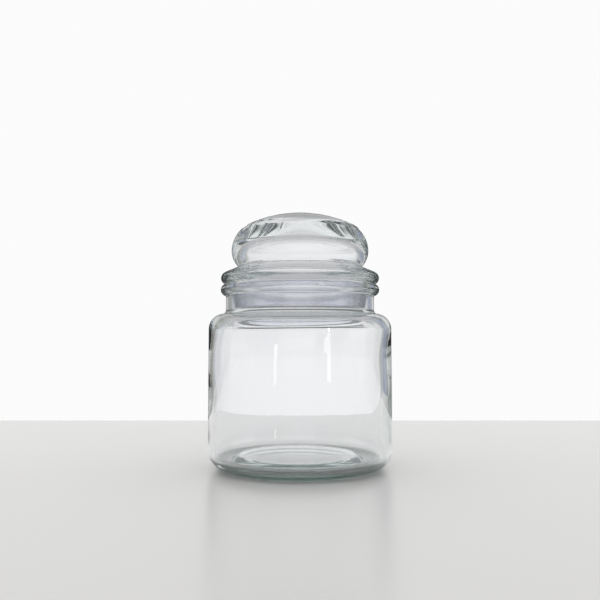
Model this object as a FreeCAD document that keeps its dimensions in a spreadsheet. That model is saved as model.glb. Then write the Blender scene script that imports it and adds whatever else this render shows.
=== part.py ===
"""Glass storage jar with a hollow bulb lid and a flexible ring seal.

Three pieces, all bodies of revolution about +Z, in millimetres. The origin is the centre of the
circle on which the jar stands. The jar and the lid are each one piece of moulded glass. A clear
flexible collar grips the lid's plug, and its lip fills the mouth of the jar.
"""

import FreeCAD, Part

import math
import os

import Sketcher
from FreeCAD import Vector

PARTS = "parts"
FULL_TURN = 360
RING_TOLERANCE = 1e-4
LEFT = 1
RIGHT = -1

# Sketcher's numbers for a sketch's own origin, its upright axis and an edge's two ends
ORIGIN_EDGE = -1
UPRIGHT_AXIS = -2
FIRST_END = 1
SECOND_END = 2

DIMENSIONS = {
    # the jar's outside
    "body_radius": 50.8,
    "heel_radius": 11.0,
    "shoulder_height": 85.1,
    "shoulder_radius": 8.4,
    "neck_radius": 41.4,
    "neck_root_radius": 2.2,
    "rim_height": 101.7,
    "bead_centre_radius": 41.1,
    "bead_radius": 3.2,
    "bead_root_radius": 0.9,
    # the jar's inside
    "wall": 3.5,
    "floor_radius": 33.0,
    "floor_height": 7.8,
    "trough_radius": 37.0,
    "trough_height": 5.0,
    "trough_round_radius": 4.0,
    "inner_heel_radius": 5.0,
    "inner_shoulder_height": 81.9,
    "inner_shoulder_radius": 6.0,
    "mouth_radius": 38.2,
    "mouth_root_radius": 4.0,
    "mouth_edge_radius": 0.9,
    # the recess under the jar
    "recess_radius": 35.0,
    "recess_step": 1.0,
    "recess_rise": 2.4,
    # the lid's outside
    "plug_radius": 34.0,
    "plug_length": 14.4,
    "plug_edge_radius": 1.3,
    "plug_root_radius": 0.5,
    "flange_radius": 44.2,
    "flange_edge_radius": 3.3,
    "waist_radius": 34.4,
    "waist_round_radius": 0.8,
    "bulb_radius": 38.4,
    "bulb_height": 120.4,
    "bulb_low_radius": 12.0,
    "bulb_side_radius": 16.4,
    "lid_top": 141.7,
    # the lid's inside
    "plug_bore": 30.4,
    "bore_round_radius": 4.0,
    "throat_radius": 28.6,
    "throat_height": 109.5,
    "throat_bulge_radius": 6.0,
    "cavity_radius": 33.0,
    "cavity_low_radius": 6.0,
    "cavity_side_radius": 7.0,
    "cavity_top": 134.4,
    # the seal
    "seal_clearance": 0.06,
    "seal_top_gap": 0.6,
    "seal_length": 13.2,
    "lip_clearance": 0.15,
    "lip_length": 3.0,
    "lip_edge_radius": 0.5,
    "foot_radius": 36.4,
    "foot_edge_radius": 0.9,
}


class Length:
    """A length that knows both its number and its formula over the sheet's cells."""

    def __init__(self, number, formula):
        self.number = number
        self.formula = formula

    def __add__(self, other):
        other = as_length(other)
        return Length(self.number + other.number, f"({self.formula} + {other.formula})")

    def __sub__(self, other):
        other = as_length(other)
        return Length(self.number - other.number, f"({self.formula} - {other.formula})")

    def __mul__(self, other):
        other = as_length(other)
        return Length(self.number * other.number, f"({self.formula} * {other.formula})")

    def __truediv__(self, other):
        other = as_length(other)
        return Length(self.number / other.number, f"({self.formula} / {other.formula})")


def as_length(thing):
    """A plain number as a Length. A Length comes back as it is."""
    return thing if isinstance(thing, Length) else Length(thing, str(thing))


def root(length):
    """The square root of a Length."""
    return Length(math.sqrt(length.number), f"sqrt({length.formula})")


def square(length):
    return length * length


ZERO = as_length(0)


class Sheet:
    """The spreadsheet of driving dimensions. Each of its aliases is also an attribute here."""

    def __init__(self, document):
        self.cells = document.addObject("Spreadsheet::Sheet", "Dimensions")
        for row, (alias, number) in enumerate(DIMENSIONS.items(), start=1):
            self.cells.set(f"A{row}", alias.replace("_", " "))
            self.cells.set(f"B{row}", str(number))
            self.cells.setAlias(f"B{row}", alias)
        document.recompute()

    def __getattr__(self, alias):
        return Length(float(getattr(self.cells, alias)), f"Dimensions.{alias}")


class Outline:
    """A closed half section in a body's XZ plane, whose corners and radii follow the sheet.

    A corner is a pair of Lengths: the distance from the axis and the height.
    """

    def __init__(self, body, name, start):
        plane = next(part for part in body.Origin.OriginFeatures if part.Role == "XZ_Plane")
        self.sketch = body.newObject("Sketcher::SketchObject", name)
        self.sketch.AttachmentSupport = [(plane, "")]
        self.sketch.MapMode = "FlatFace"
        self.corners = [start]
        self.ends = []

    def line(self, *corner):
        """A straight edge to the corner."""
        segment = Part.LineSegment(flat(self.corners[-1]), flat(corner))
        self.add(segment, FIRST_END, corner)

    def arc(self, corner, radius, side):
        """An arc of under half a turn to the corner, with its centre on the side given."""
        start = flat(self.corners[-1])
        end = flat(corner)
        middle = (start + end) / 2
        along = end - start
        reach = math.sqrt(radius.number**2 - (along.Length / 2) ** 2)
        across = Vector(-along.y, along.x, 0).normalize()
        centre = middle + across * reach * side
        circle = Part.Circle(centre, Vector(0, 0, 1), radius.number)
        first, second = (start, end) if side == LEFT else (end, start)
        bow = Part.ArcOfCircle(circle, angle_of(first - centre), angle_of(second - centre))
        edge = self.add(bow, FIRST_END if side == LEFT else SECOND_END, corner)
        self.tie(Sketcher.Constraint("Radius", edge, radius.number), radius)

    def add(self, geometry, start_end, corner):
        """One more edge, with the place of its start tied to the sheet."""
        edge = self.sketch.addGeometry(geometry, False)
        self.ends.append((start_end, FIRST_END + SECOND_END - start_end))
        across, up = self.corners[-1]
        self.place(edge, start_end, "DistanceX", across, UPRIGHT_AXIS)
        self.place(edge, start_end, "DistanceY", up, ORIGIN_EDGE)
        self.corners.append(corner)
        return edge

    def place(self, edge, end, kind, distance, axis):
        """Tie one end of an edge to its distance from the origin, or to the axis itself."""
        if distance.number == 0:
            self.sketch.addConstraint(Sketcher.Constraint("PointOnObject", edge, end, axis))
            return
        start = (ORIGIN_EDGE, FIRST_END)
        self.tie(Sketcher.Constraint(kind, *start, edge, end, distance.number), distance)

    def tie(self, constraint, length):
        """Add a dimension that follows its formula."""
        index = self.sketch.addConstraint(constraint)
        self.sketch.setExpression(f"Constraints[{index}]", length.formula)

    def close(self):
        """A straight edge back to the start, and every edge joined to the next."""
        self.line(*self.corners[0])
        count = len(self.ends)
        for edge, (_, finish) in enumerate(self.ends):
            following = (edge + 1) % count
            start = self.ends[following][0]
            self.sketch.addConstraint(
                Sketcher.Constraint("Coincident", edge, finish, following, start)
            )
        return self.sketch


def flat(corner):
    """A corner as a point of the sketch."""
    return Vector(corner[0].number, corner[1].number, 0)


def angle_of(direction):
    return math.atan2(direction.y, direction.x)


def along(first, second, share):
    """The corner that lies the given share of the way from the first to the second."""
    return tuple(a + (b - a) * share for a, b in zip(first, second))


def touch_point(centre, radius, outside):
    """Where the upper tangent from an outside corner meets a circle."""
    across = outside[0] - centre[0]
    up = outside[1] - centre[1]
    distance_squared = square(across) + square(up)
    inward = square(radius) / distance_squared
    sideways = radius * root(distance_squared - square(radius)) / distance_squared
    return (
        centre[0] + across * inward + up * sideways,
        centre[1] + up * inward - across * sideways,
    )


def oval_top(outline, side_centre, side_radius, top):
    """The upper half of an oval, from its widest point up to the axis.

    A tight arc at the side runs smoothly into a wide arc over the crown.
    """
    half_width = side_centre[0] + side_radius
    rise = top - side_centre[1]
    crown_radius = (square(half_width) + square(rise) - half_width * side_radius * 2) / (
        (rise - side_radius) * 2
    )
    crown_centre = (ZERO, top - crown_radius)
    join = along(crown_centre, side_centre, crown_radius / (crown_radius - side_radius))
    outline.arc(join, side_radius, LEFT)
    outline.arc((ZERO, top), crown_radius, LEFT)


def turn(body, kind, name, outline):
    """Close an outline and turn it about +Z, as solid (Revolution) or as a cut (Groove)."""
    sketch = outline.close()
    feature = body.newObject(f"PartDesign::{kind}", name)
    feature.Profile = sketch
    feature.ReferenceAxis = (sketch, ["V_Axis"])
    feature.Angle = FULL_TURN
    body.Document.recompute()
    return feature


def round_rings(body, name, radius, rings):
    """Fillet the circular edges that have the given distances from the axis and heights."""
    base = body.Tip
    names = [ring_name(base.Shape, ring) for ring in rings]
    fillet = body.newObject("PartDesign::Fillet", name)
    fillet.Base = (base, names)
    fillet.setExpression("Radius", radius.formula)
    body.Document.recompute()


def ring_name(shape, ring):
    """The name of the circular edge at that distance from the axis and height."""
    distance, height = (length.number for length in ring)
    for number, edge in enumerate(shape.Edges, start=1):
        if edge.Degenerated or not isinstance(edge.Curve, Part.Circle):
            continue
        curve = edge.Curve
        misses = (curve.Radius - distance, curve.Center.z - height, curve.Center.x, curve.Center.y)
        if max(abs(miss) for miss in misses) < RING_TOLERANCE:
            return f"Edge{number}"
    raise ValueError(f"no circular edge at {distance:.2f}, {height:.2f}")


def new_body(document, label):
    body = document.addObject("PartDesign::Body", label)
    body.Label = label
    body.Placement = FreeCAD.Placement()
    return body


def make_jar(document, size):
    """The jar: a straight body with a soft heel and shoulder, a short neck and a beaded rim."""
    body = new_body(document, "jar")
    turn(body, "Revolution", "jar_outside", jar_outside(body, size))
    turn(body, "Groove", "jar_inside", jar_inside(body, size))
    turn(body, "Groove", "jar_recess", jar_recess(body, size))
    floor_bends = [(size.floor_radius, size.floor_height), (size.trough_radius, size.trough_height)]
    round_rings(body, "floor_bends", size.trough_round_radius, floor_bends)
    mouth_edge = (size.mouth_radius, size.rim_height)
    round_rings(body, "mouth_edge", size.mouth_edge_radius, [mouth_edge])
    return body


def jar_outside(body, size):
    heel_across = size.body_radius - size.heel_radius
    shoulder_centre = (
        size.body_radius - size.shoulder_radius,
        size.shoulder_height - size.shoulder_radius,
    )
    bead_centre = (size.bead_centre_radius, size.rim_height - size.bead_radius)

    neck_root_across = size.neck_radius + size.neck_root_radius
    neck_root_reach = size.shoulder_radius + size.neck_root_radius
    neck_root_rise = root(square(neck_root_reach) - square(neck_root_across - shoulder_centre[0]))
    neck_root_centre = (neck_root_across, shoulder_centre[1] + neck_root_rise)
    shoulder_end = along(shoulder_centre, neck_root_centre, size.shoulder_radius / neck_root_reach)

    bead_root_across = size.neck_radius + size.bead_root_radius
    bead_root_reach = size.bead_radius + size.bead_root_radius
    bead_root_drop = root(square(bead_root_reach) - square(bead_root_across - bead_centre[0]))
    bead_root_centre = (bead_root_across, bead_centre[1] - bead_root_drop)
    bead_start = along(bead_centre, bead_root_centre, size.bead_radius / bead_root_reach)

    outline = Outline(body, "jar_outside_outline", (ZERO, ZERO))
    outline.line(heel_across, ZERO)
    outline.arc((size.body_radius, size.heel_radius), size.heel_radius, LEFT)
    outline.line(size.body_radius, shoulder_centre[1])
    outline.arc(shoulder_end, size.shoulder_radius, LEFT)
    outline.arc((size.neck_radius, neck_root_centre[1]), size.neck_root_radius, RIGHT)
    outline.line(size.neck_radius, bead_root_centre[1])
    outline.arc(bead_start, size.bead_root_radius, RIGHT)
    outline.arc((bead_centre[0] + size.bead_radius, bead_centre[1]), size.bead_radius, LEFT)
    outline.arc((bead_centre[0], size.rim_height), size.bead_radius, LEFT)
    outline.line(ZERO, size.rim_height)
    return outline


def jar_inside(body, size):
    """The room: a raised floor with a trough round it, straight walls and a narrower mouth."""
    inner_radius = size.body_radius - size.wall
    heel_top = size.trough_height + size.inner_heel_radius
    shoulder_centre = (
        inner_radius - size.inner_shoulder_radius,
        size.inner_shoulder_height - size.inner_shoulder_radius,
    )
    mouth_root_across = size.mouth_radius + size.mouth_root_radius
    mouth_root_reach = size.inner_shoulder_radius + size.mouth_root_radius
    mouth_root_rise = root(square(mouth_root_reach) - square(mouth_root_across - shoulder_centre[0]))
    mouth_root_centre = (mouth_root_across, shoulder_centre[1] + mouth_root_rise)
    shoulder_share = size.inner_shoulder_radius / mouth_root_reach
    shoulder_end = along(shoulder_centre, mouth_root_centre, shoulder_share)
    above_rim = size.rim_height + size.bead_radius

    outline = Outline(body, "jar_inside_outline", (ZERO, size.floor_height))
    outline.line(size.floor_radius, size.floor_height)
    outline.line(size.trough_radius, size.trough_height)
    outline.line(inner_radius - size.inner_heel_radius, size.trough_height)
    outline.arc((inner_radius, heel_top), size.inner_heel_radius, LEFT)
    outline.line(inner_radius, shoulder_centre[1])
    outline.arc(shoulder_end, size.inner_shoulder_radius, LEFT)
    outline.arc((size.mouth_radius, mouth_root_centre[1]), size.mouth_root_radius, RIGHT)
    outline.line(size.mouth_radius, above_rim)
    outline.line(ZERO, above_rim)
    return outline


def jar_recess(body, size):
    """The shallow dome under the jar, which leaves it standing on a ring."""
    dome_edge = size.recess_radius - size.recess_step
    dome_rise = size.recess_rise - size.recess_step
    dome_radius = (square(dome_edge) + square(dome_rise)) / (dome_rise * 2)
    outline = Outline(body, "jar_recess_outline", (ZERO, ZERO))
    outline.line(size.recess_radius, ZERO)
    outline.line(dome_edge, size.recess_step)
    outline.arc((ZERO, size.recess_rise), dome_radius, LEFT)
    return outline


def make_lid(document, size):
    """The lid: an open plug under a thick flange, and a hollow bulb to lift it by."""
    body = new_body(document, "lid")
    plug_bottom = size.rim_height - size.plug_length
    bulb_low_centre = (size.bulb_radius - size.bulb_low_radius, size.bulb_height)
    waist_across = size.waist_radius - bulb_low_centre[0]
    waist_drop = root(square(size.bulb_low_radius) - square(waist_across))
    waist = (size.waist_radius, size.bulb_height - waist_drop)
    throat_centre = (size.throat_radius + size.throat_bulge_radius, size.throat_height)
    bore_drop = root(square(size.throat_bulge_radius) - square(throat_centre[0] - size.plug_bore))
    bore_end = (size.plug_bore, size.throat_height - bore_drop)

    turn(body, "Revolution", "lid_outside", lid_outside(body, size, plug_bottom, waist))
    turn(body, "Groove", "lid_inside", lid_inside(body, size, plug_bottom, bore_end, throat_centre))
    round_rings(body, "waist_round", size.waist_round_radius, [waist])
    round_rings(body, "bore_round", size.bore_round_radius, [bore_end])
    round_rings(body, "plug_root", size.plug_root_radius, [(size.plug_radius, size.rim_height)])
    plug_edges = [(size.plug_radius, plug_bottom), (size.plug_bore, plug_bottom)]
    round_rings(body, "plug_edges", size.plug_edge_radius, plug_edges)
    return body


def lid_outside(body, size, plug_bottom, waist):
    edge_centre = (
        size.flange_radius - size.flange_edge_radius,
        size.rim_height + size.flange_edge_radius,
    )
    edge_top = touch_point(edge_centre, size.flange_edge_radius, waist)
    side_centre = (size.bulb_radius - size.bulb_side_radius, size.bulb_height)

    outline = Outline(body, "lid_outside_outline", (ZERO, plug_bottom))
    outline.line(size.plug_radius, plug_bottom)
    outline.line(size.plug_radius, size.rim_height)
    outline.line(edge_centre[0], size.rim_height)
    outline.arc(edge_top, size.flange_edge_radius, LEFT)
    outline.line(*waist)
    outline.arc((size.bulb_radius, size.bulb_height), size.bulb_low_radius, LEFT)
    oval_top(outline, side_centre, size.bulb_side_radius, size.lid_top)
    return outline


def lid_inside(body, size, plug_bottom, bore_end, throat_centre):
    """The hollow: up the plug's bore, in past the throat, and out into the bulb."""
    low_across = size.cavity_radius - size.cavity_low_radius
    low_reach = size.throat_bulge_radius + size.cavity_low_radius
    low_rise = root(square(low_reach) - square(throat_centre[0] - low_across))
    low_centre = (low_across, size.throat_height + low_rise)
    throat_end = along(throat_centre, low_centre, size.throat_bulge_radius / low_reach)
    side_centre = (size.cavity_radius - size.cavity_side_radius, low_centre[1])

    outline = Outline(body, "lid_inside_outline", (ZERO, plug_bottom))
    outline.line(size.plug_bore, plug_bottom)
    outline.line(*bore_end)
    outline.arc(throat_end, size.throat_bulge_radius, RIGHT)
    outline.arc((size.cavity_radius, low_centre[1]), size.cavity_low_radius, LEFT)
    oval_top(outline, side_centre, size.cavity_side_radius, size.cavity_top)
    return outline


def make_seal_ring(document, size):
    """The seal: a collar round the plug, whose lip fills the mouth and whose skirt tapers away."""
    body = new_body(document, "seal_ring")
    bore = size.plug_radius + size.seal_clearance
    reach = size.mouth_radius - size.lip_clearance
    top = size.rim_height - size.seal_top_gap
    bottom = top - size.seal_length

    outline = Outline(body, "seal_outline", (bore, bottom))
    outline.line(size.foot_radius, bottom)
    outline.line(reach, top - size.lip_length)
    outline.line(reach, top)
    outline.line(bore, top)
    turn(body, "Revolution", "seal_section", outline)
    round_rings(body, "lip_edge", size.lip_edge_radius, [(reach, top)])
    round_rings(body, "foot_edge", size.foot_edge_radius, [(size.foot_radius, bottom)])
    return body


def check(document, bodies):
    """Stop if any object failed or any piece is not one valid solid."""
    for thing in document.Objects:
        if {"Invalid", "Error"} & set(thing.State):
            raise RuntimeError(f"{thing.Label}: {thing.State}")
    for body in bodies:
        if body.Shape.isNull() or not body.Shape.isValid() or len(body.Shape.Solids) != 1:
            raise RuntimeError(f"{body.Label} is not one valid solid")


def main():
    document = FreeCAD.newDocument("storage_jar")
    size = Sheet(document)
    bodies = [make(document, size) for make in (make_jar, make_lid, make_seal_ring)]
    document.recompute()
    check(document, bodies)
    os.makedirs(PARTS, exist_ok=True)
    for body in bodies:
        body.Shape.exportStep(os.path.join(PARTS, f"{body.Label}.step"))
        box = body.Shape.BoundBox
        print(f"{body.Label}: z {box.ZMin:.2f} to {box.ZMax:.2f}, {body.Shape.Volume / 1000:.1f} cm3")


main()
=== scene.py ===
"""A clear glass jar with a hollow bulb lid and a soft clear seal, standing on a pale table top.

Every piece is turned about +Z from a half section made of lines and arcs. The inside surfaces of
the glass then get the slow waves and the uneven wall of moulded glass, which only show because
light bends in them.
"""

import math

import bmesh
import bpy
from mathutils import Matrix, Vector, noise


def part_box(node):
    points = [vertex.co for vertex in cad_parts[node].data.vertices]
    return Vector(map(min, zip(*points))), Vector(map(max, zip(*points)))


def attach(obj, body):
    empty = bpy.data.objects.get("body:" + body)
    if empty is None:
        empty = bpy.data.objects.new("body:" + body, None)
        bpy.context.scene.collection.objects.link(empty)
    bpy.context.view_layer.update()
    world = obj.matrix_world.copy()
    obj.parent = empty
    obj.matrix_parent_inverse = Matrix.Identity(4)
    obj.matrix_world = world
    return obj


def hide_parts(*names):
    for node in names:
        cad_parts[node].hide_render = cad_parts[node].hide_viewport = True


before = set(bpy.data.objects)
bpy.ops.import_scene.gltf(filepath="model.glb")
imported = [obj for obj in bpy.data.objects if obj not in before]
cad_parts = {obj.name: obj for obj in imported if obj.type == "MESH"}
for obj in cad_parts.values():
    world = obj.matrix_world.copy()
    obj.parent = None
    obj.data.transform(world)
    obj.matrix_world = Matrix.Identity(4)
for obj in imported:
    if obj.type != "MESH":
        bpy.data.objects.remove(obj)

MM = 0.001
DEGREE = math.pi / 180
LEFT = 1
RIGHT = -1

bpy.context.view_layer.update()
JAR_LOW, JAR_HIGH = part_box("jar")
LID_LOW, LID_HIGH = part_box("lid")
SEAL_LOW, SEAL_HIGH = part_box("seal_ring")

# the jar
BODY_RADIUS = JAR_HIGH.x
RIM_HEIGHT = JAR_HIGH.z
HEEL_RADIUS = 11.0 * MM
SHOULDER_HEIGHT = 85.1 * MM
SHOULDER_RADIUS = 8.4 * MM
NECK_RADIUS = 41.4 * MM
NECK_ROOT_RADIUS = 2.2 * MM
BEAD_CENTRE_RADIUS = 41.1 * MM
BEAD_RADIUS = 3.2 * MM
BEAD_ROOT_RADIUS = 0.9 * MM
WALL = 3.5 * MM
FLOOR_HEIGHT = 7.8 * MM
FLOOR_RADIUS = 33.0 * MM
TROUGH_RADIUS = 37.0 * MM
TROUGH_HEIGHT = 5.0 * MM
TROUGH_REACH = 1.26 * MM
INNER_HEEL_RADIUS = 5.0 * MM
INNER_SHOULDER_HEIGHT = 81.9 * MM
INNER_SHOULDER_RADIUS = 6.0 * MM
MOUTH_RADIUS = 38.2 * MM
MOUTH_ROOT_RADIUS = 4.0 * MM
MOUTH_EDGE_REACH = 0.9 * MM
RECESS_RADIUS = 35.0 * MM
RECESS_STEP = 1.0 * MM
RECESS_RISE = 2.4 * MM

# the lid
PLUG_RADIUS = 34.0 * MM
PLUG_BOTTOM = LID_LOW.z
PLUG_EDGE_REACH = 1.3 * MM
PLUG_ROOT_REACH = 0.5 * MM
FLANGE_RADIUS = 44.2 * MM
FLANGE_EDGE_RADIUS = 3.3 * MM
WAIST_RADIUS = 34.4 * MM
WAIST_REACH = 0.8 * MM
BULB_RADIUS = 38.4 * MM
BULB_HEIGHT = 120.4 * MM
BULB_LOW_RADIUS = 12.0 * MM
BULB_SIDE_RADIUS = 16.4 * MM
LID_TOP = LID_HIGH.z
PLUG_BORE = 30.4 * MM
BORE_REACH = 2.0 * MM
THROAT_RADIUS = 28.6 * MM
THROAT_HEIGHT = 109.5 * MM
THROAT_BULGE_RADIUS = 6.0 * MM
CAVITY_RADIUS = 33.0 * MM
CAVITY_LOW_RADIUS = 6.0 * MM
CAVITY_SIDE_RADIUS = 7.0 * MM
CAVITY_TOP = 134.4 * MM
RIM_GAP = 0.04 * MM

# the curved shear mark on the lid's crown
SHEAR_SHIFT = 4.0 * MM
SHEAR_RADIUS = 7.0 * MM
SHEAR_WIDTH = 1.2 * MM
SHEAR_HEIGHT = 0.1 * MM
SHEAR_END_LENGTH = 2.0 * MM

# the seal
SEAL_BORE = 34.06 * MM
SEAL_REACH = SEAL_HIGH.x
SEAL_FOOT_RADIUS = 36.4 * MM
SEAL_LIP_LENGTH = 3.0 * MM
SEAL_LIP_REACH = 0.5 * MM
SEAL_FOOT_REACH = 0.9 * MM

# the colours of the pieces: clear glass at its surface, painted shade at the jar's heel and the
# lid's plug edge, and tints for the light that crosses it
CLEAR = (0.98, 0.98, 0.99, 1)
HEEL_PAINTED_SHADE = (0.3, 0.37, 0.34, 1)
LID_RIM_PAINTED_SHADE = (0.12, 0.12, 0.13, 1)
JAR_DEPTH = ((0.2, 0.42, 0.36, 1), 7.0)
LID_DEPTH = ((0.5, 0.62, 0.6, 1), 5.0)
VINYL_DEPTH = ((0.62, 0.66, 0.85, 1), 10.0)
VINYL = (0.96, 0.963, 1, 1)
TABLE_DARK = (0.69, 0.685, 0.67, 1)
TABLE_LIGHT = (0.715, 0.71, 0.7, 1)
GLASS_IOR = 1.52
VINYL_IOR = 1.5

# the faint ripple of each glass surface
JAR_RIPPLE = 0.02 * MM
LID_RIPPLE = 0.0012 * MM

# the uneven inside of the jar
WALL_SHIFT = 0.9 * MM
WALL_TAPER = 0.0175
TAPER_MIDDLE = 45 * MM
SIDE_WAVE = 0.6 * MM
SIDE_SHARPNESS = 12
BROAD_WAVE = 0.05 * MM

# the uneven inside of the lid's bulb
BULB_FOOT = 108 * MM
BULB_SHIFT = 0.5 * MM
BULB_WAVE = 0.1 * MM

# the colours of the studio
WHITE = (0.97, 0.97, 0.97)
CEILING = (0.55, 0.55, 0.56, 1)
GROUND = (0.15, 0.16, 0.16, 1)
MIRRORED = (0.08, 0.08, 0.09, 1)
LIT = (0.95, 0.95, 0.95, 1)
PANELS = [
    (0.0, WHITE),
    (0.26, WHITE),
    (0.29, (0.34, 0.35, 0.37)),
    (0.345, (0.34, 0.35, 0.37)),
    (0.38, (0.42, 0.47, 0.58)),
    (0.5, (0.38, 0.41, 0.48)),
    (0.56, (0.45, 0.46, 0.42)),
    (0.7, (0.34, 0.35, 0.32)),
    (0.8, (0.9, 0.9, 0.9)),
    (1.0, WHITE),
]

# the table, the camera and the softboxes
TABLE_LEVEL = -0.05 * MM
TABLE_FAR = 0.2455
TABLE_REACH = 3.0
CAMERA_PLACE = (0, -0.4013, 0.0685)
CAMERA_PITCH = 3.52 * DEGREE
CAMERA_LENS = 42.9
STRIP_AZIMUTH = 34 * DEGREE
STRIP_DISTANCE = 1.0

# how finely the pieces are divided
TURNS = 288
LINE_STEP = 0.8 * MM
ARC_STEP = 4 * DEGREE
BEND_POINTS = 6


def along(first, second, share):
    """The point that lies the given share of the way from the first to the second."""
    return first[0] + (second[0] - first[0]) * share, first[1] + (second[1] - first[1]) * share


def leg(hypotenuse, other):
    """The third side of a right-angled triangle."""
    return math.sqrt(hypotenuse**2 - other**2)


class Section:
    """A half section, edge by edge: points are (distance from the axis, height)."""

    def __init__(self, across, up):
        self.start = (across, up)
        self.edges = []
        self.bends = []

    def last(self):
        return self.edges[-1][-1] if self.edges else self.start

    def line(self, across, up, bend=0.0):
        """A straight edge. The corner at its end is rounded over the reach given."""
        start = self.last()
        count = max(1, math.ceil(math.dist(start, (across, up)) / LINE_STEP))
        self.edges.append([along(start, (across, up), i / count) for i in range(count + 1)])
        self.bends.append(bend)

    def arc(self, across, up, radius, side, bend=0.0):
        """An arc of under half a turn, with its centre on the side given."""
        start = self.last()
        middle = along(start, (across, up), 0.5)
        chord = math.dist(start, (across, up))
        lift = leg(radius, chord / 2) * side / chord
        centre = (middle[0] - (up - start[1]) * lift, middle[1] + (across - start[0]) * lift)
        begin = math.atan2(start[1] - centre[1], start[0] - centre[0])
        sweep = 2 * math.asin(min(1, chord / (2 * radius))) * side
        count = max(2, math.ceil(abs(sweep) / ARC_STEP))
        angles = [begin + sweep * i / count for i in range(count + 1)]
        points = [
            (centre[0] + radius * math.cos(a), centre[1] + radius * math.sin(a)) for a in angles
        ]
        points[0] = start
        points[-1] = (across, up)
        self.edges.append(points)
        self.bends.append(bend)

    def points(self, closed=False):
        """The points of the whole section, with its marked corners rounded."""
        edges = [list(edge) for edge in self.edges]
        result = []
        for index, edge in enumerate(edges):
            reach = self.bends[index]
            following = edges[(index + 1) % len(edges)]
            if reach:
                corner = edge[-1]
                before = cut_end(edge, reach)
                after = cut_end(following[::-1], reach)
                edge[:] = before
                following[:] = after[::-1]
                result += edge[1:] + bend_points(edge[-1], corner, following[0])
            else:
                result += edge[1:]
        return result if closed else [edges[0][0]] + result


def cut_end(points, reach):
    """A line of points with the last stretch of that length taken off."""
    points = list(points)
    while len(points) > 2 and math.dist(points[-1], points[-2]) <= reach:
        reach -= math.dist(points[-1], points[-2])
        points.pop()
    share = reach / math.dist(points[-1], points[-2])
    points[-1] = along(points[-1], points[-2], share)
    return points


def bend_points(start, corner, end):
    """A smooth bend from start to end, under a corner."""
    bend = []
    for step in range(1, BEND_POINTS + 1):
        share = step / BEND_POINTS
        bend.append(along(along(start, corner, share), along(corner, end, share), share))
    return bend


def oval_top(section, side_centre, side_radius, top):
    """The upper half of an oval: a tight arc at the side, then a wide one over the crown."""
    half_width = side_centre[0] + side_radius
    rise = top - side_centre[1]
    crown_radius = (half_width**2 + rise**2 - 2 * half_width * side_radius) / (
        2 * (rise - side_radius)
    )
    join = along((0, top - crown_radius), side_centre, crown_radius / (crown_radius - side_radius))
    section.arc(*join, side_radius, LEFT)
    section.arc(0, top, crown_radius, LEFT)


def oval_top_down(section, side_centre, side_radius, top):
    """The same oval, drawn from the axis down to its widest point."""
    half_width = side_centre[0] + side_radius
    rise = top - side_centre[1]
    crown_radius = (half_width**2 + rise**2 - 2 * half_width * side_radius) / (
        2 * (rise - side_radius)
    )
    join = along((0, top - crown_radius), side_centre, crown_radius / (crown_radius - side_radius))
    section.arc(*join, crown_radius, RIGHT)
    section.arc(half_width, side_centre[1], side_radius, RIGHT)


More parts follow.
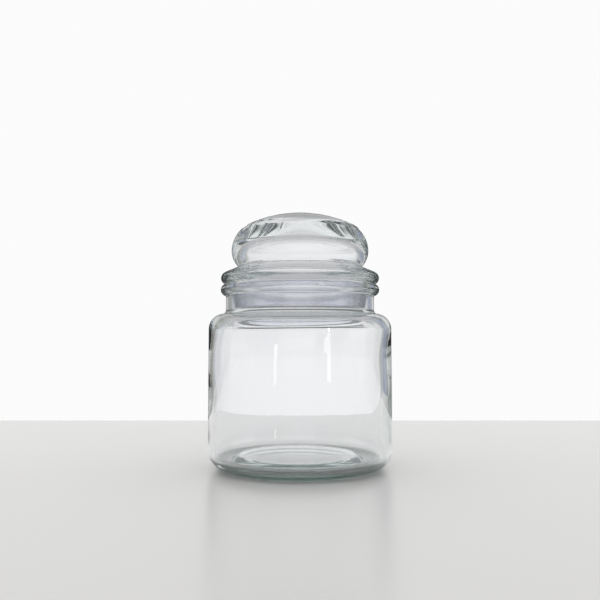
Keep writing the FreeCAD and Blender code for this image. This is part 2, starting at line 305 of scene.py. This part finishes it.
def jar_section():
    """From the middle of the jar's floor, up its inside, over the rim and down its outside."""
    inner_radius = BODY_RADIUS - WALL
    inner_shoulder = (
        inner_radius - INNER_SHOULDER_RADIUS,
        INNER_SHOULDER_HEIGHT - INNER_SHOULDER_RADIUS,
    )
    mouth_reach = INNER_SHOULDER_RADIUS + MOUTH_ROOT_RADIUS
    mouth_across = MOUTH_RADIUS + MOUTH_ROOT_RADIUS
    mouth_root = (
        mouth_across,
        inner_shoulder[1] + leg(mouth_reach, mouth_across - inner_shoulder[0]),
    )
    inner_end = along(inner_shoulder, mouth_root, INNER_SHOULDER_RADIUS / mouth_reach)

    bead = (BEAD_CENTRE_RADIUS, RIM_HEIGHT - BEAD_RADIUS)
    bead_reach = BEAD_RADIUS + BEAD_ROOT_RADIUS
    bead_across = NECK_RADIUS + BEAD_ROOT_RADIUS
    bead_root = (bead_across, bead[1] - leg(bead_reach, bead_across - bead[0]))
    bead_end = along(bead, bead_root, BEAD_RADIUS / bead_reach)

    shoulder = (BODY_RADIUS - SHOULDER_RADIUS, SHOULDER_HEIGHT - SHOULDER_RADIUS)
    neck_reach = SHOULDER_RADIUS + NECK_ROOT_RADIUS
    neck_across = NECK_RADIUS + NECK_ROOT_RADIUS
    neck_root = (neck_across, shoulder[1] + leg(neck_reach, neck_across - shoulder[0]))
    shoulder_start = along(shoulder, neck_root, SHOULDER_RADIUS / neck_reach)

    dome_edge = RECESS_RADIUS - RECESS_STEP
    dome_rise = RECESS_RISE - RECESS_STEP
    dome_radius = (dome_edge**2 + dome_rise**2) / (2 * dome_rise)

    section = Section(0, FLOOR_HEIGHT)
    section.line(FLOOR_RADIUS, FLOOR_HEIGHT, bend=TROUGH_REACH)
    section.line(TROUGH_RADIUS, TROUGH_HEIGHT, bend=TROUGH_REACH)
    section.line(inner_radius - INNER_HEEL_RADIUS, TROUGH_HEIGHT)
    section.arc(inner_radius, TROUGH_HEIGHT + INNER_HEEL_RADIUS, INNER_HEEL_RADIUS, LEFT)
    section.line(inner_radius, inner_shoulder[1])
    section.arc(*inner_end, INNER_SHOULDER_RADIUS, LEFT)
    section.arc(MOUTH_RADIUS, mouth_root[1], MOUTH_ROOT_RADIUS, RIGHT)
    section.line(MOUTH_RADIUS, RIM_HEIGHT, bend=MOUTH_EDGE_REACH)
    section.line(BEAD_CENTRE_RADIUS, RIM_HEIGHT)
    section.arc(bead[0] + BEAD_RADIUS, bead[1], BEAD_RADIUS, RIGHT)
    section.arc(*bead_end, BEAD_RADIUS, RIGHT)
    section.arc(NECK_RADIUS, bead_root[1], BEAD_ROOT_RADIUS, LEFT)
    section.line(NECK_RADIUS, neck_root[1])
    section.arc(*shoulder_start, NECK_ROOT_RADIUS, LEFT)
    section.arc(BODY_RADIUS, shoulder[1], SHOULDER_RADIUS, RIGHT)
    section.line(BODY_RADIUS, HEEL_RADIUS)
    section.arc(BODY_RADIUS - HEEL_RADIUS, 0, HEEL_RADIUS, RIGHT)
    section.line(RECESS_RADIUS, 0, bend=RECESS_STEP / 2)
    section.line(dome_edge, RECESS_STEP, bend=RECESS_STEP / 2)
    section.arc(0, RECESS_RISE, dome_radius, RIGHT)
    return section.points()


def touch_point(centre, radius, outside):
    """Where the upper tangent from an outside point meets a circle."""
    across = outside[0] - centre[0]
    up = outside[1] - centre[1]
    distance_squared = across**2 + up**2
    inward = radius**2 / distance_squared
    sideways = radius * math.sqrt(distance_squared - radius**2) / distance_squared
    return (
        centre[0] + across * inward + up * sideways,
        centre[1] + up * inward - across * sideways,
    )


def lid_section():
    """From the crown of the hollow, down its inside, round the plug and up the outside."""
    throat = (THROAT_RADIUS + THROAT_BULGE_RADIUS, THROAT_HEIGHT)
    low_across = CAVITY_RADIUS - CAVITY_LOW_RADIUS
    low_reach = THROAT_BULGE_RADIUS + CAVITY_LOW_RADIUS
    low = (low_across, THROAT_HEIGHT + leg(low_reach, throat[0] - low_across))
    throat_end = along(throat, low, THROAT_BULGE_RADIUS / low_reach)
    cavity_side = (CAVITY_RADIUS - CAVITY_SIDE_RADIUS, low[1])
    bore_end = THROAT_HEIGHT - leg(THROAT_BULGE_RADIUS, throat[0] - PLUG_BORE)

    flange_bottom = RIM_HEIGHT + RIM_GAP
    edge = (FLANGE_RADIUS - FLANGE_EDGE_RADIUS, RIM_HEIGHT + FLANGE_EDGE_RADIUS)
    waist_drop = leg(BULB_LOW_RADIUS, WAIST_RADIUS - (BULB_RADIUS - BULB_LOW_RADIUS))
    waist = (WAIST_RADIUS, BULB_HEIGHT - waist_drop)
    edge_top = touch_point(edge, FLANGE_EDGE_RADIUS, waist)
    bulb_side = (BULB_RADIUS - BULB_SIDE_RADIUS, BULB_HEIGHT)

    section = Section(0, CAVITY_TOP)
    oval_top_down(section, cavity_side, CAVITY_SIDE_RADIUS, CAVITY_TOP)
    section.arc(*throat_end, CAVITY_LOW_RADIUS, RIGHT)
    section.arc(PLUG_BORE, bore_end, THROAT_BULGE_RADIUS, LEFT, bend=BORE_REACH)
    section.line(PLUG_BORE, PLUG_BOTTOM, bend=PLUG_EDGE_REACH)
    section.line(PLUG_RADIUS, PLUG_BOTTOM, bend=PLUG_EDGE_REACH)
    section.line(PLUG_RADIUS, flange_bottom, bend=PLUG_ROOT_REACH)
    section.line(edge[0], flange_bottom)
    section.arc(FLANGE_RADIUS, edge[1], FLANGE_EDGE_RADIUS, LEFT)
    section.arc(*edge_top, FLANGE_EDGE_RADIUS, LEFT)
    section.line(*waist, bend=WAIST_REACH)
    section.arc(BULB_RADIUS, BULB_HEIGHT, BULB_LOW_RADIUS, LEFT)
    oval_top(section, bulb_side, BULB_SIDE_RADIUS, LID_TOP)
    return section.points()


def seal_section():
    """The collar: a bore, a tapered skirt and a lip."""
    top = SEAL_HIGH.z
    bottom = SEAL_LOW.z
    section = Section(SEAL_BORE, bottom)
    section.line(SEAL_FOOT_RADIUS, bottom, bend=SEAL_FOOT_REACH)
    section.line(SEAL_REACH, top - SEAL_LIP_LENGTH, bend=SEAL_LIP_REACH)
    section.line(SEAL_REACH, top, bend=SEAL_LIP_REACH)
    section.line(SEAL_BORE, top, bend=SEAL_LIP_REACH / 2)
    section.line(SEAL_BORE, bottom, bend=SEAL_LIP_REACH / 2)
    return section.points(closed=True)


def turned(name, points, closed, shift):
    """A closed mesh turned about +Z. shift(place, outward) gives each point's small offset."""
    mesh = bpy.data.meshes.new(name)
    shape = bmesh.new()
    rings = []
    for across, up in points:
        if across < 1e-9:
            place = Vector((0, 0, up))
            rings.append([shape.verts.new(place + shift(place, Vector((0, 0, 1))))])
            continue
        ring = []
        for turn in range(TURNS):
            angle = 2 * math.pi * turn / TURNS
            outward = Vector((math.cos(angle), math.sin(angle), 0))
            place = outward * across + Vector((0, 0, up))
            ring.append(shape.verts.new(place + shift(place, outward)))
        rings.append(ring)
    pairs = list(zip(rings, rings[1:]))
    if closed:
        pairs.append((rings[-1], rings[0]))
    for first, second in pairs:
        for turn in range(TURNS):
            following = (turn + 1) % TURNS
            corners = [first[turn % len(first)], first[following % len(first)]]
            corners += [second[following % len(second)], second[turn % len(second)]]
            shape.faces.new(list(dict.fromkeys(corners)))
    bmesh.ops.recalc_face_normals(shape, faces=shape.faces)
    for face in shape.faces:
        face.smooth = True
    shape.to_mesh(mesh)
    shape.free()
    piece = bpy.data.objects.new(name, mesh)
    bpy.context.scene.collection.objects.link(piece)
    return piece


def ease(value, low, high):
    """0 below low, 1 above high, and a smooth step between them."""
    share = min(1, max(0, (value - low) / (high - low)))
    return share * share * (3 - 2 * share)


def wave(place, length, seed):
    """Slow noise from about -1 to 1, whose waves are about the given length."""
    return noise.noise(place / length + Vector((seed, seed, seed)))


def still(place, outward):
    return Vector()


def jar_shift(place, outward):
    """The inside of the jar: a wall thinner at one side, a slight taper and slow waves."""
    across = math.hypot(place.x, place.y)
    inside = place.z > TROUGH_HEIGHT - 0.1 * MM and across < BODY_RADIUS - WALL + 0.1 * MM
    if not inside:
        return Vector()
    wall = 1 - ease(place.z, 64 * MM, 82 * MM)
    side = outward.x**SIDE_SHARPNESS * ease(place.z, 9 * MM, 20 * MM)
    slow = wave(Vector((place.x, place.y, place.z * 1.6)), 34 * MM, 3.1)
    broad = wave(place, 44 * MM, 8.4)
    depth = ease(across, 20 * MM, 40 * MM)
    taper = (place.z - TAPER_MIDDLE) * WALL_TAPER
    offset = outward * (SIDE_WAVE * slow * side + BROAD_WAVE * broad + taper) * wall * depth
    return offset + Vector((-WALL_SHIFT * wall, 0, 0))


def lid_shift(place, outward):
    """The inside of the bulb: a wall thinner at one side, and slow waves."""
    across = math.hypot(place.x, place.y)
    in_bulb = BULB_FOOT < place.z < CAVITY_TOP + 0.01 * MM
    if not in_bulb or across > CAVITY_RADIUS + 0.1 * MM:
        return Vector()
    bulb = ease(place.z, BULB_FOOT, BULB_FOOT + 8 * MM)
    slow = wave(place, 22 * MM, 5.7)
    return outward * BULB_WAVE * slow * bulb + Vector((BULB_SHIFT * bulb, 0, 0))


def node(tree, kind, **values):
    """A shader node with some of its sockets or settings filled in."""
    made = tree.nodes.new(kind)
    for key, value in values.items():
        if key in made.inputs:
            made.inputs[key].default_value = value
        else:
            setattr(made, key, value)
    return made


def maths(tree, operation, *values):
    made = node(tree, "ShaderNodeMath", operation=operation)
    for socket, value in zip(made.inputs, values):
        if isinstance(value, (int, float)):
            socket.default_value = value
        else:
            tree.links.new(value, socket)
    return made.outputs["Value"]


def times(tree, first, second):
    return maths(tree, "MULTIPLY", first, second)


def mix(tree, share, first, second):
    made = node(tree, "ShaderNodeMix", data_type="RGBA")
    sockets = (made.inputs["Factor"], made.inputs[6], made.inputs[7])
    for socket, value in zip(sockets, (share, first, second)):
        if isinstance(value, (int, float, tuple)):
            socket.default_value = value
        else:
            tree.links.new(value, socket)
    return made.outputs[2]


def span(tree, value, start, end):
    """0 at start, 1 at end, with a smooth step between them."""
    made = node(tree, "ShaderNodeMapRange", interpolation_type="SMOOTHSTEP")
    made.inputs["From Min"].default_value = start
    made.inputs["From Max"].default_value = end
    tree.links.new(value, made.inputs["Value"])
    return made.outputs["Result"]


def ramp(tree, stops, source):
    """A ramp of greys or colours over a value."""
    made = node(tree, "ShaderNodeValToRGB")
    elements = made.color_ramp.elements
    while len(elements) < len(stops):
        elements.new(0.5)
    for element, (position, colour) in zip(elements, stops):
        element.position = position
        element.color = (*colour, 1)
    tree.links.new(source, made.inputs["Fac"])
    return made.outputs["Color"]


def coordinates(tree, kind):
    """The x, y and z of a texture coordinate."""
    place = node(tree, "ShaderNodeTexCoord")
    parts = node(tree, "ShaderNodeSeparateXYZ")
    tree.links.new(place.outputs[kind], parts.inputs["Vector"])
    return parts.outputs


def distance(tree, x, y):
    """How far (x, y) is from the axis."""
    squares = maths(tree, "ADD", maths(tree, "POWER", x, 2.0), maths(tree, "POWER", y, 2.0))
    return maths(tree, "SQRT", squares)


def mottle(tree, scale, detail=2.0):
    """Soft cloudy noise over a piece's own space."""
    place = node(tree, "ShaderNodeTexCoord")
    cloud = node(tree, "ShaderNodeTexNoise", Scale=scale, Detail=detail)
    tree.links.new(place.outputs["Object"], cloud.inputs["Vector"])
    return cloud.outputs["Fac"]


def new_material(name):
    """A material with one shader joined to its output."""
    material = bpy.data.materials.new(name)
    material.use_nodes = True
    tree = material.node_tree
    tree.nodes.clear()
    output = node(tree, "ShaderNodeOutputMaterial")
    shader = node(tree, "ShaderNodeBsdfPrincipled")
    tree.links.new(shader.outputs["BSDF"], output.inputs["Surface"])
    return material, tree, shader, output


def make_clear(tree, shader, output, ior, depth):
    """Light passes through, and the depth's colour and density tint it on the way."""
    colour, density = depth
    shader.inputs["IOR"].default_value = ior
    shader.inputs["Transmission Weight"].default_value = 1.0
    tint = node(tree, "ShaderNodeVolumeAbsorption", Color=colour, Density=density)
    tree.links.new(tint.outputs["Volume"], output.inputs["Volume"])


def glass_material(name, depth, ripple_height, add_marks_and_shade):
    """Clear soda-lime glass: a tint in its depth, and the faint ripple of a moulded surface."""
    material, tree, shader, output = new_material(name)
    shader.inputs["Base Color"].default_value = CLEAR
    shader.inputs["Roughness"].default_value = 0.0
    make_clear(tree, shader, output, GLASS_IOR, depth)
    ripple = node(tree, "ShaderNodeBump", Strength=1.0, Distance=ripple_height)
    tree.links.new(mottle(tree, 90.0, detail=1.0), ripple.inputs["Height"])
    add_marks_and_shade(tree, shader, ripple.outputs["Normal"])
    return material


def jar_marks_and_shade(tree, shader, ripple):
    """The jar's foot: a stippled ring that it stands on, and painted shade (a darker base colour)
    round the heel.
    """
    x, y, z = coordinates(tree, "Object")
    across = distance(tree, x, y)
    low = span(tree, z, 0.9 * MM, 0.1 * MM)
    wide = span(tree, across, RECESS_RADIUS - 0.5 * MM, RECESS_RADIUS)
    stipple = times(tree, low, wide)
    tree.links.new(times(tree, stipple, 0.35), shader.inputs["Roughness"])
    place = node(tree, "ShaderNodeTexCoord")
    pebbles = node(tree, "ShaderNodeTexVoronoi", feature="SMOOTH_F1")
    pebbles.inputs["Scale"].default_value = 620.0
    relief = node(tree, "ShaderNodeBump", Distance=0.35 * MM)
    tree.links.new(place.outputs["Object"], pebbles.inputs["Vector"])
    tree.links.new(stipple, relief.inputs["Strength"])
    tree.links.new(pebbles.outputs["Distance"], relief.inputs["Height"])
    tree.links.new(ripple, relief.inputs["Normal"])
    tree.links.new(relief.outputs["Normal"], shader.inputs["Normal"])
    # painted shade: the base colour is darkened low on the outside of the heel
    below = span(tree, z, 5.5 * MM, 3.5 * MM)
    heel = times(tree, below, span(tree, across, 42 * MM, 46 * MM))
    tree.links.new(mix(tree, heel, CLEAR, HEEL_PAINTED_SHADE), shader.inputs["Base Color"])


def lid_marks_and_shade(tree, shader, ripple):
    """The lid's painted shade along the edge under its plug, and the curved shear mark on its
    crown.
    """
    x, y, z = coordinates(tree, "Object")
    # painted shade: a dark band of base colour along the plug's bottom edge
    rim = span(tree, z, PLUG_BOTTOM + 0.9 * MM, PLUG_BOTTOM + 0.4 * MM)
    tree.links.new(mix(tree, rim, CLEAR, LID_RIM_PAINTED_SHADE), shader.inputs["Base Color"])
    aside = maths(tree, "ADD", x, SHEAR_SHIFT)
    ahead = maths(tree, "ADD", y, SHEAR_SHIFT)
    off_ring = maths(tree, "SUBTRACT", distance(tree, aside, ahead), SHEAR_RADIUS)
    ridge = span(tree, maths(tree, "ABSOLUTE", off_ring), SHEAR_WIDTH, 0.0)
    ridge = times(tree, ridge, span(tree, ahead, -SHEAR_END_LENGTH, SHEAR_END_LENGTH))
    ridge = times(tree, ridge, span(tree, z, CAVITY_TOP, CAVITY_TOP + 1 * MM))
    mark = node(tree, "ShaderNodeBump", Distance=SHEAR_HEIGHT)
    tree.links.new(ridge, mark.inputs["Height"])
    tree.links.new(ripple, mark.inputs["Normal"])
    tree.links.new(mark.outputs["Normal"], shader.inputs["Normal"])


def vinyl_material():
    """Soft clear vinyl: a little cloudy, with a cool cast in its depth."""
    material, tree, shader, output = new_material("clear_vinyl")
    shader.inputs["Base Color"].default_value = VINYL
    make_clear(tree, shader, output, VINYL_IOR, VINYL_DEPTH)
    roughness = maths(tree, "MULTIPLY_ADD", mottle(tree, 140.0), 0.1, 0.1)
    tree.links.new(roughness, shader.inputs["Roughness"])
    return material


def table_material():
    """Pale satin laminate, very slightly mottled."""
    material, tree, shader, _ = new_material("pale_laminate")
    colour = mix(tree, mottle(tree, 9.0), TABLE_DARK, TABLE_LIGHT)
    tree.links.new(colour, shader.inputs["Base Color"])
    shader.inputs["Roughness"].default_value = 0.24
    shader.inputs["Specular IOR Level"].default_value = 0.42
    return material


def add_table():
    """The plain pale floor, which ends a little way behind the jar."""
    mesh = bpy.data.meshes.new("table")
    rows = (-TABLE_REACH, TABLE_FAR)
    corners = [(side, row, TABLE_LEVEL) for row in rows for side in (-TABLE_REACH, TABLE_REACH)]
    mesh.from_pydata(corners, [], [(0, 1, 3, 2)])
    table = bpy.data.objects.new("table", mesh)
    bpy.context.scene.collection.objects.link(table)
    table.data.materials.append(table_material())


def add_camera():
    data = bpy.data.cameras.new("camera")
    data.sensor_width = 36
    data.lens = CAMERA_LENS
    camera = bpy.data.objects.new("camera", data)
    camera.location = CAMERA_PLACE
    camera.rotation_euler = (90 * DEGREE + CAMERA_PITCH, 0, 0)
    bpy.context.scene.collection.objects.link(camera)
    bpy.context.scene.camera = camera


def panel_colour(tree):
    """Panels all round with dark gaps between them, a dim ceiling and a dark ground."""
    x, y, z = coordinates(tree, "Generated")
    quarter = math.pi / 2
    azimuth = maths(tree, "FLOORED_MODULO", maths(tree, "ARCTAN2", x, y), quarter)
    panels = ramp(tree, PANELS, maths(tree, "DIVIDE", azimuth, quarter))
    behind = times(tree, maths(tree, "MAXIMUM", y, 0.0), 0.2)
    above = span(tree, maths(tree, "SUBTRACT", z, behind), 0.14, 0.55)
    below = span(tree, z, -0.13, -0.19)
    return mix(tree, below, mix(tree, above, panels, CEILING), GROUND)


def add_world():
    """A white studio, whose panels and dark gaps are seen only through the glass."""
    world = bpy.data.worlds.new("studio")
    bpy.context.scene.world = world
    world.use_nodes = True
    tree = world.node_tree
    tree.nodes.clear()
    output = node(tree, "ShaderNodeOutputWorld")
    background = node(tree, "ShaderNodeBackground")
    tree.links.new(background.outputs["Background"], output.inputs["Surface"])
    path = node(tree, "ShaderNodeLightPath").outputs
    sharp = times(tree, path["Is Glossy Ray"], path["Is Singular Ray"])
    direct = maths(tree, "LESS_THAN", path["Diffuse Depth"], 0.5)
    seen = times(tree, path["Is Transmission Ray"], direct)
    colour = mix(tree, sharp, LIT, MIRRORED)
    colour = mix(tree, seen, colour, panel_colour(tree))
    colour = mix(tree, path["Is Camera Ray"], colour, (*WHITE, 1))
    tree.links.new(colour, background.inputs["Color"])


def add_strip(name, width, low, high, power, pieces):
    """An upright softbox on the camera's side, which aims at the jar and lights only its pieces."""
    data = bpy.data.lights.new(name, "AREA")
    data.shape = "RECTANGLE"
    data.size = width
    data.size_y = high - low
    data.energy = power
    lamp = bpy.data.objects.new(name, data)
    sideways = STRIP_DISTANCE * math.sin(STRIP_AZIMUTH)
    nearer = STRIP_DISTANCE * math.cos(STRIP_AZIMUTH)
    lamp.location = (sideways, -nearer, (low + high) / 2)
    aim = Vector((0, 0, lamp.location.z)) - lamp.location
    lamp.rotation_euler = aim.to_track_quat("-Z", "Y").to_euler()
    lamp.visible_camera = False
    lamp.light_linking.receiver_collection = pieces
    bpy.context.scene.collection.objects.link(lamp)


def finish_piece(piece, body, replaced, material):
    piece.data.materials.append(material)
    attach(piece, body)
    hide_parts(replaced)


jar_glass = glass_material("jar_glass", JAR_DEPTH, JAR_RIPPLE, jar_marks_and_shade)
lid_glass = glass_material("lid_glass", LID_DEPTH, LID_RIPPLE, lid_marks_and_shade)
jar = turned("jar_glass", jar_section(), False, jar_shift)
lid = turned("lid_glass", lid_section(), False, lid_shift)
finish_piece(jar, "jar", "jar", jar_glass)
finish_piece(lid, "lid", "lid", lid_glass)
seal = turned("seal_collar", seal_section(), True, still)
finish_piece(seal, "seal", "seal_ring", vinyl_material())

add_table()
add_camera()
add_world()
pieces = bpy.data.collections.new("lit_by_strips")
for piece in (jar, lid, seal):
    pieces.objects.link(piece)
add_strip("strip", 0.075, 0.0, 0.09, 0.06, pieces)
add_strip("spot", 0.03, 0.092, 0.107, 0.3, pieces)

scene = bpy.context.scene
scene.view_settings.view_transform = "Standard"
scene.cycles.max_bounces = 40
scene.cycles.transmission_bounces = 40
scene.cycles.glossy_bounces = 24
